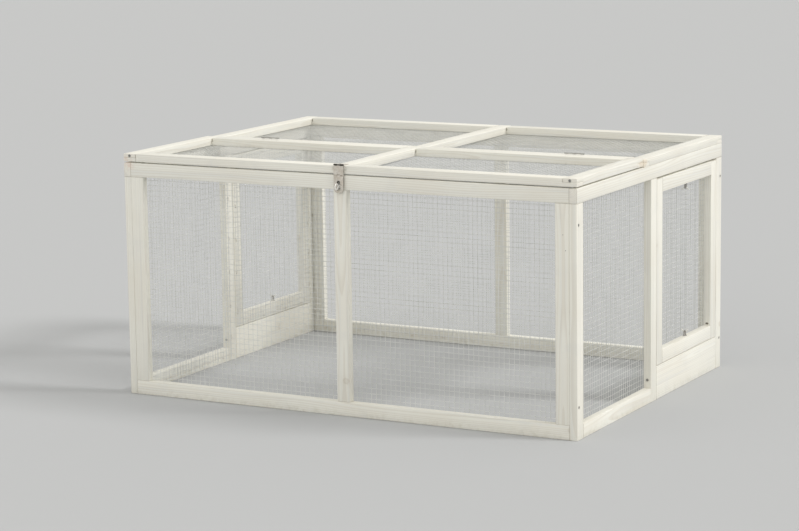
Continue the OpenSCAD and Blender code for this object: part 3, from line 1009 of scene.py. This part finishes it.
def staple_row(model, node, normal, outward, seed):
    """Staples round the edge of a net, driven into the timber behind it."""
    draw = random.Random(seed)
    low, high = corners(node)
    plane = others(normal)
    into = along_axis(normal, outward)
    inner_face = low[normal] if outward > 0 else high[normal]
    pieces = []
    for along, across in (plane, plane[::-1]):
        length = high[along] - low[along]
        count = max(3, round(length / (STAPLE_STEP * MM)))
        for edge, inward in ((low[across], 1), (high[across], -1)):
            for number in range(count):
                spot = along_axis(normal, inner_face)
                stray = draw.uniform(-STAPLE_STRAY, STAPLE_STRAY) * MM
                spot[along] = low[along] + length * (number + 0.5) / count + stray
                spot[across] = edge + inward * draw.uniform(*STAPLE_IN) * MM
                lean = Matrix.Rotation(draw.uniform(-STAPLE_LEAN, STAPLE_LEAN), 4, into)
                crown = lean @ along_axis(along)
                turn = Matrix((crown, crown.cross(into), -into)).transposed().to_4x4()
                pieces.append(copy_of(model, Matrix.Translation(spot) @ turn))
    return pieces


def build_staples():
    model = staple()
    sets = {"frame": [], "lid": []}
    for number, (node, (normal, outward, _)) in enumerate(NETS.items()):
        sets[body_of(node)] += staple_row(model, node, normal, outward, STAPLE_SEED + number)
    for body, pieces in sets.items():
        dress(joined(body + "_net_staples", pieces), ZINC, "netting", body)
    drop(model)


build_staples()

# ---- hinges and hasp

KNUCKLE_GAP = 0.3
ROLL_STEPS = 18
HASP_ROLL = 300
HINGE_ROLL = 285
HINGE_LEN = 50
HINGE_Y = 377
HINGE_BARREL_R = 2.6
HINGE_PIN_R = 1.3
HINGE_Z = LID_TOP + HINGE_BARREL_R + KNUCKLE_GAP
LEAF_DROP = HINGE_Z - LID_TOP + 16
LEAF_GAP = 0.1
PLATE_HOLE_R = 3
HASP_W = 25
HASP_PIN_R = 1.1
HASP_LEAF_END_Y = 24
HASP_CORNER_R = 4
STRAP_END_Z = EYE_Z - 15.5
SLOT_W = 9
SLOT_LOW = EYE_Z - 12
SLOT_HIGH = EYE_Z + 13
EYE_PLATE_CORNER_R = 3
EYE_PLATE_BORE_R = 2.3
EYE_HIGH = 17
EYE_WIRE = 3.9
EYE_SHANK_R = 2.15
COLLAR_R = 3.2
COLLAR_T = 1.2
RIVET_R = 3.4
RIVET_T = 1.05


def knuckles(width, own, count):
    """The spans of a leaf's own knuckles along the pin, out of so many along the width."""
    step = (width + KNUCKLE_GAP) / count
    return [(-width / 2 + i * step, -width / 2 + (i + 1) * step - KNUCKLE_GAP) for i in own]


def pressed_leaf(name, width, length, thick, offset, radius, own, count, roll):
    """A pressed hinge leaf: the pin is the X axis, the plate hangs down behind it, and its own
    knuckles, own out of count, are curled up over the pin through roll degrees."""
    reach = radius + KNUCKLE_GAP
    spans = knuckles(width, own, count)
    piece = block(name, mm(-width / 2, offset, -length), mm(width / 2, offset + thick, -reach))
    way = 1 if offset + thick / 2 > 0 else -1
    with Bench(piece) as bench:
        for x in sorted(x for span in spans for x in span if abs(x) < width / 2 - 0.01):
            bench.cut(mm(x, 0, 0), (1, 0, 0))
        bench.pick_knuckles(1, -length, spans)
        bench.extrude(0, 0, reach)
        bench.pick_knuckles(1, -0.01, spans)
        bench.roll(way * math.radians(roll), ROLL_STEPS, (0, 0, 0))
        bench.tidy()
    return piece


def hasp_plate(name, length, own):
    """A pressed plate of the hasp, in line with the front of its barrel of three knuckles."""
    radius = HASP_BARREL_R
    return pressed_leaf(name, HASP_W, length, PLATE_T, -radius, radius, own, 3, HASP_ROLL)


def curl_foot(piece, length, own):
    """Curls knuckles round a second pin at the foot of a plate of the hasp."""
    reach = HASP_BARREL_R + KNUCKLE_GAP
    spans = knuckles(HASP_W, own, 3)
    pin = -length - reach
    with Bench(piece) as bench:
        bench.pick_knuckles(-1, pin + reach * 1.2, spans)
        bench.extrude(0, 0, -reach)
        bench.pick_knuckles(-1, pin + 0.01, spans)
        bench.roll(math.radians(HASP_ROLL), ROLL_STEPS, mm(0, 0, pin))
        bench.tidy()


def pin_bar(name, x, y, z, radius, length):
    """A hinge pin with rounded ends, centred on x."""
    piece = round_bar(name, at(x - length / 2, y, z), "x", radius, length, sides=20)
    round_off(piece, radius * 0.45, 3)
    return piece


def screw_seats(leaf, dx, length, low, high):
    """Drills the two screw holes of a hanging leaf, which lies between low and high along Y."""
    for x in (-dx, dx):
        start = mm(x, low - 1, -length)
        cut_away(leaf, round_bar("hole", start, "y", PLATE_HOLE_R, high - low + 2, sides=20))


def butt_leaves(name, offset, own):
    """Both leaves of one side of the lid's hinges."""
    leaf = pressed_leaf(name, HINGE_LEN, LEAF_DROP, LEAF_T, offset, HINGE_BARREL_R, own, 5, HINGE_ROLL)
    screw_seats(leaf, HINGE_SCREW_DX, HINGE_Z - HINGE_SCREW_Z, offset, offset + LEAF_T)
    round_off(leaf, 0.15, 1)
    leaves = [copy_of(leaf, Matrix.Translation(at(x, HINGE_Y, HINGE_Z))) for x in HINGE_XS]
    drop(leaf)
    piece = joined(name, leaves)
    smooth(piece)
    return piece


def build_hinges():
    roof_side = butt_leaves("roof_leaves_pressed", LEAF_GAP, (0, 2, 4))
    lid_side = butt_leaves("lid_leaves_pressed", -LEAF_GAP - LEAF_T, (1, 3))
    dress(roof_side, PALE_ZINC_AND_HIGHLIGHT, "zinc_plate", "frame", "roof_hinge_leaves")
    dress(lid_side, PALE_ZINC_AND_HIGHLIGHT, "zinc_plate", "lid", "lid_hinge_leaves")
    pins = [pin_bar("pin", x, HINGE_Y, HINGE_Z, HINGE_PIN_R, HINGE_LEN + 2) for x in HINGE_XS]
    pins.append(pin_bar("pin", HASP_X, HASP_Y, UPPER_PIN_Z, HASP_PIN_R, HASP_W + 3))
    piece = joined("hinge_pins_round", pins)
    smooth(piece)
    dress(piece, STEEL, "steel_screws", "lid", "hinge_pins")


build_hinges()


def round_corners(piece, radius, below=math.inf):
    """Rounds the corners of an upright plate, its short edges along Y, or only those below a height."""
    with Bench(piece) as bench:
        bench.pick_edges(
            lambda edge: runs_along(edge, 1) and sharp(edge) and edge.verts[0].co.z < below * MM
        )
        bench.bevel(radius, 6)


def hasp_leaf():
    """The leaf that is screwed on the lid: made hanging, then laid back on the lid's top."""
    back = HASP_LEAF_END_Y - HASP_Y
    low = -HASP_BARREL_R
    piece = hasp_plate("hasp_leaf_pressed", back, (0, 2))
    round_corners(piece, HASP_CORNER_R, -0.9 * back)
    screw_seats(piece, HASP_SCREW_DX, HASP_SCREW_Y - HASP_Y, low, low + PLATE_T)
    round_off(piece, 0.25, 2)
    piece.data.transform(Matrix.Rotation(math.pi / 2, 4, "X"))
    piece.data.transform(Matrix.Translation(at(HASP_X, HASP_Y, UPPER_PIN_Z)))
    smooth(piece)
    dress(piece, ZINC, "zinc_plate", "lid", "hasp_leaf")


def hasp_link():
    """The plate between the hasp's two pins, with the lower pin in it."""
    length = UPPER_PIN_Z - LOWER_PIN_Z - HASP_BARREL_R - KNUCKLE_GAP
    piece = hasp_plate("hasp_link_pressed", length, (1,))
    curl_foot(piece, length, (0, 2))
    round_off(piece, 0.25, 2)
    piece.data.transform(Matrix.Translation(at(HASP_X, HASP_Y, UPPER_PIN_Z)))
    pin = pin_bar("lower_pin", HASP_X, HASP_Y, LOWER_PIN_Z, HASP_PIN_R, HASP_W + 2)
    piece = joined("hasp_link_pressed", [piece, pin])
    smooth(piece)
    dress(piece, ZINC, "zinc_plate", "link", "hasp_link")


def hasp_strap():
    """The strap, with a round end and a long slot that the eye's ring passes through."""
    length = LOWER_PIN_Z - STRAP_END_Z
    piece = hasp_plate("hasp_strap_pressed", length, (1,))
    round_corners(piece, HASP_W / 2 - 0.3, -0.9 * length)
    half = SLOT_W / 2
    slot = block("slot", mm(-half, -3, SLOT_LOW - LOWER_PIN_Z), mm(half, 6, SLOT_HIGH - LOWER_PIN_Z))
    round_corners(slot, half - 0.1)
    cut_away(piece, slot)
    round_off(piece, 0.25, 2)
    piece.data.transform(Matrix.Translation(at(HASP_X, HASP_Y, LOWER_PIN_Z)))
    smooth(piece)
    dress(piece, ZINC, "zinc_plate", "strap", "hasp_strap")


def eye_plate():
    """The plate on the front top rail, bored for the eye's shank and its two screws."""
    piece = block("eye_plate_pressed", *corners("eye_plate"))
    round_corners(piece, EYE_PLATE_CORNER_R)
    cut_away(piece, round_bar("hole", at(HASP_X, -4, EYE_Z), "y", EYE_PLATE_BORE_R, 8))
    for x in pairs(EYE_SCREW_DX, HASP_X):
        cut_away(piece, round_bar("hole", at(x, -4, EYE_SCREW_Z), "y", PLATE_HOLE_R, 8, sides=20))
    round_off(piece, 0.2, 2)
    smooth(piece)
    # the plate takes the dark steel finish as painted shade, seen through the strap's slot
    dress(piece, STEEL, "zinc_plate", "frame", "eye_plate")


def turn_eye():
    """The eye: a ring forged flat on a collar and a riveted shank."""
    bpy.ops.object.select_all(action="DESELECT")
    bpy.ops.mesh.primitive_torus_add(
        major_segments=40,
        minor_segments=14,
        major_radius=(EYE_HIGH - EYE_WIRE) / 2 * MM,
        minor_radius=EYE_WIRE / 2 * MM,
        rotation=(0, math.pi / 2, 0),
    )
    ring = added("ring")
    settle(ring)
    ring.data.transform(Matrix.Diagonal((EYE_T / EYE_WIRE, (EYE_REACH - EYE_ROOT) / EYE_HIGH, 1, 1)))
    ring.data.transform(Matrix.Translation(at(HASP_X, -(EYE_REACH + EYE_ROOT) / 2, EYE_Z)))
    shank = round_bar("shank", at(HASP_X, -EYE_ROOT - 1.2, EYE_Z), "y", EYE_SHANK_R, EYE_ROOT + 1.5)
    collar = round_bar("collar", at(HASP_X, -2.7, EYE_Z), "y", COLLAR_R, COLLAR_T)
    round_off(collar, 0.4, 3)
    rivet = round_bar("rivet", at(HASP_X, 0.15, EYE_Z), "y", RIVET_R, RIVET_T)
    round_off(rivet, 0.3, 2)
    piece = joined("turn_eye_forged", [ring, shank, collar, rivet])
    smooth(piece, 50)
    dress(piece, BRIGHT, "zinc_plate", "eye", "turn_eye")


hasp_leaf()
hasp_link()
hasp_strap()
eye_plate()
turn_eye()

# ---- wing screws

WING_SCREW_R = 2.97
PITCH = 1.0
THREAD_DEPTH = 0.45
THREAD_LEN = 51
THREAD_SIDES = 16
THREAD_RUN_IN = 3
ROWS_PER_TURN = 4
WASHER_R = 6.5
WASHER_T = 1.2
WASHER_BORE_R = 3.15
HUB_FOOT_R = 4.7
HUB_FOOT_H = 0.8
HUB_R = 3.3
HUB_H = 13.4
# the pieces of a wing: how far out and up, then how much lower and thinner it gets
WING_STEPS = ((1.9, 1.6, 1.1, 0.9), (1.9, 1.6, 1.06, 0.9), (1.5, 0.9, 0.95, 0.9), (0.7, 0.1, 0.7, 0.7))
# the pieces of the stem above its foot: how far up, and how much narrower it gets
STEM_STEPS = ((2.2, HUB_R / HUB_FOOT_R), (HUB_H - 4, 0.94), (1, 0.7))


def threaded_shank():
    """A shank with a helical thread, from Z = -THREAD_LEN up to the hub."""
    length = THREAD_LEN + WASHER_T + 1
    tip = mm(0, 0, -THREAD_LEN)
    shank = round_bar("shank", tip, "z", WING_SCREW_R, length, sides=THREAD_SIDES)
    rows = int(length * ROWS_PER_TURN / PITCH)
    with Bench(shank) as bench:
        bench.pick_edges(lambda edge: runs_along(edge, 2))
        bpy.ops.mesh.subdivide(number_cuts=rows)
    for vertex in shank.data.vertices:
        z = vertex.co.z / MM
        if -THREAD_LEN + 0.1 < z < -0.5:
            turn = math.atan2(vertex.co.y, vertex.co.x) / (2 * math.pi)
            crest = abs(((z / PITCH - turn) % 1) - 0.5) * 2
            ease = min(1.0, (z + THREAD_LEN) / THREAD_RUN_IN)
            shrink = 1 - THREAD_DEPTH * (1 - crest * ease) / WING_SCREW_R
            vertex.co.x *= shrink
            vertex.co.y *= shrink
    return shank


def cast_wing():
    """One wing, drawn out of a small block and rounded by subdivision."""
    wing = block("wing", mm(1, -1.3, 10), mm(3.4, 1.3, 14.6))
    with Bench(wing) as bench:
        bench.pick_faces(lambda centre, normal: normal.x > 0.9)
        for out, up, lower, thinner in WING_STEPS:
            bench.extrude(out, 0, up)
            bench.scale(1, thinner, lower)
    only(wing)
    rounding = wing.modifiers.new("rounding", "SUBSURF")
    rounding.levels = 2
    rounding.render_levels = 2
    bpy.ops.object.modifier_apply(modifier="rounding")
    return wing


def cast_stem():
    """The stem of a wing screw on its wider foot, stored as darkened."""
    stem = round_bar("stem", mm(0, 0, WASHER_T + 0.05), "z", HUB_FOOT_R, HUB_FOOT_H)
    with Bench(stem) as bench:
        bench.pick_faces(lambda centre, normal: normal.z > 0.9)
        for up, narrower in STEM_STEPS:
            bench.extrude(0, 0, up)
            bench.scale(narrower, narrower, 1)
    layer = stem.data.attributes.new("stem", "FLOAT_VECTOR", "POINT")
    for value in layer.data:
        value.vector = (1, 0, 0)
    return stem


def wing_screw():
    """A wing screw and its washer: the seat is at Z = 0 and the thread points down."""
    stem = cast_stem()
    wing = cast_wing()
    other = copy_of(wing, Matrix.Rotation(math.pi, 4, "Z"))
    washer = round_bar("washer", (0, 0, 0), "z", WASHER_R, WASHER_T, sides=32)
    cut_away(washer, round_bar("bore", mm(0, 0, -1), "z", WASHER_BORE_R, 4))
    round_off(washer, 0.2, 2)
    piece = joined("wing_screw", [stem, wing, other, threaded_shank(), washer])
    smooth(piece, 40)
    return piece


def build_wing_screws():
    model = wing_screw()
    turns = {"lower": Matrix(), "upper": Matrix.Rotation(math.pi, 4, "X")}
    for side in ("left", "right"):
        for level, turn in turns.items():
            node = side + "_" + level + "_wing_screw"
            low, high = corners(node)
            middle = (low + high) / 2
            seat = low.z + THREAD_LEN * MM if level == "lower" else high.z - THREAD_LEN * MM
            piece = copy_of(model, Matrix.Translation((middle.x, middle.y, seat)) @ turn)
            piece.name = node + "_cast"
            dress(piece, BRIGHT, "steel_screws", body_of(node), node)
    drop(model)


build_wing_screws()

# ---- floor and light

FLOOR_COLOR = (0.49, 0.50, 0.51)
SKY_COLOR = (1.0, 0.985, 0.945)
SKY_LEVEL = 0.74
KEY_LEVEL = 1.62
KEY_FROM = (0.75, 0.19, 0.62)
KEY_SPREAD = 14
FILL_LEVEL = 0.58
FILL_FROM = (-0.15, -0.93, 0.33)
FILL_SPREAD = 80


def add_sun(name, level, direction, spread, color):
    """A far lamp: direction points to it, and spread is its apparent size in degrees."""
    sun = bpy.data.lights.new(name, "SUN")
    sun.energy = level
    sun.angle = math.radians(spread)
    sun.color = color
    lamp = bpy.data.objects.new(name, sun)
    lamp.rotation_euler = Vector(direction).to_track_quat("Z", "Y").to_euler()
    bpy.context.scene.collection.objects.link(lamp)


def set_stage():
    bpy.ops.object.select_all(action="DESELECT")
    bpy.ops.mesh.primitive_plane_add(size=120)
    floor = added("floor")
    mat = Finish("floor", roughness=0.85)
    mat.set("Base Color", FLOOR_COLOR)
    floor.data.materials.append(mat.material)

    world = bpy.context.scene.world or bpy.data.worlds.new("world")
    bpy.context.scene.world = world
    world.use_nodes = True
    background = world.node_tree.nodes["Background"]
    background.inputs["Color"].default_value = (*SKY_COLOR, 1.0)
    background.inputs["Strength"].default_value = SKY_LEVEL
    add_sun("key", KEY_LEVEL, KEY_FROM, KEY_SPREAD, (1.0, 0.985, 0.97))
    add_sun("fill", FILL_LEVEL, FILL_FROM, FILL_SPREAD, (1.0, 0.99, 0.965))


set_stage()
bpy.context.scene.view_settings.view_transform = "Standard"
